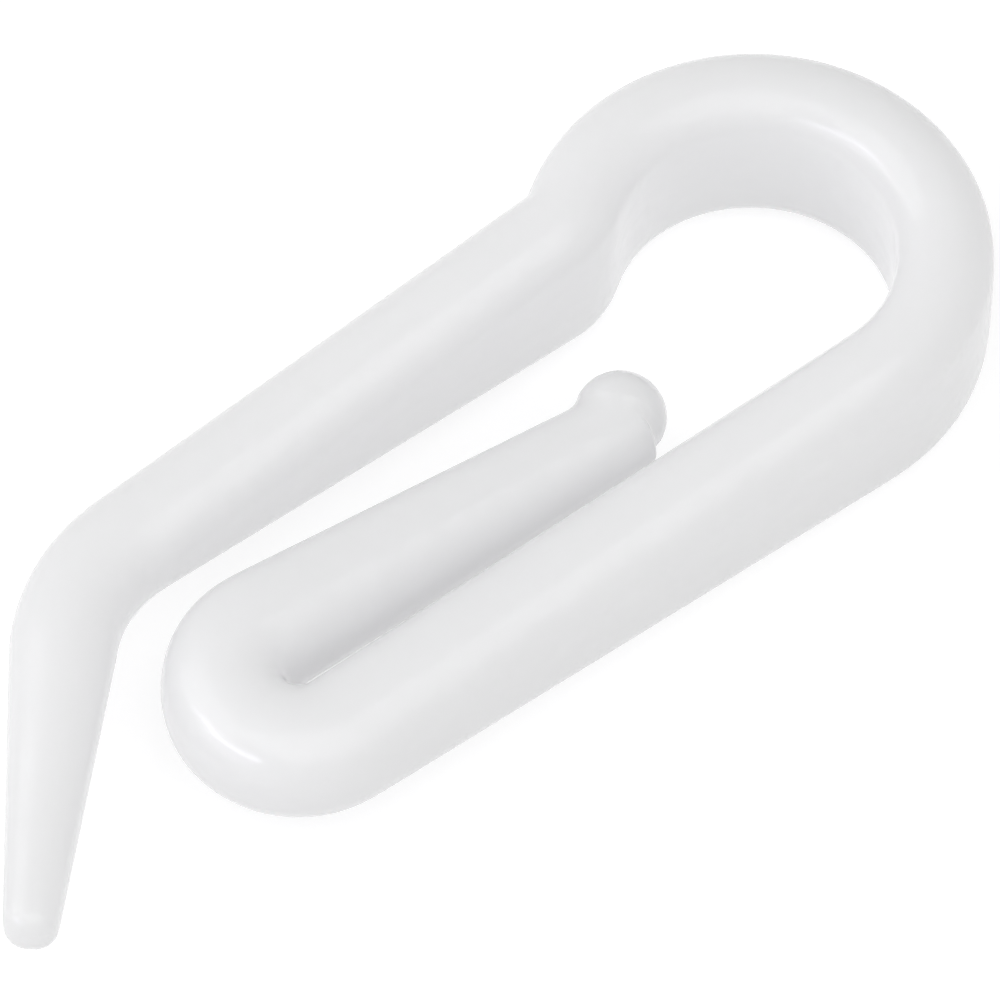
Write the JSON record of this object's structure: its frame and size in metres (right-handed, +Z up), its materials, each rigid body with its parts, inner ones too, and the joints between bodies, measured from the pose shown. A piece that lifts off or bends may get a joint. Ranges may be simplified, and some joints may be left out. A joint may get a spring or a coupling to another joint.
{
  "type": "curtain hook",
  "caption": "Moulded plastic curtain hook: a round-edged bar bent into an open eye, a beaded short arm beside a straight spine, and a springy arm with a cranked tapering tail.",
  "frame": {"origin": "on the ground plane, under the middle of the hook's outline, with the hook lying flat on its side", "axes": "+X along the spine from the turn towards the eye, +Y from the spine towards the springy arm, +Z up across the bar"},
  "size_m": [0.0324, 0.0124, 0.0048],
  "materials": {
    "milky_plastic": "satin to soft gloss, milky white and slightly translucent, as moulded"
  },
  "bodies": {
    "root": {"curtain_hook": "milky_plastic"}
  },
  "joints": []
}
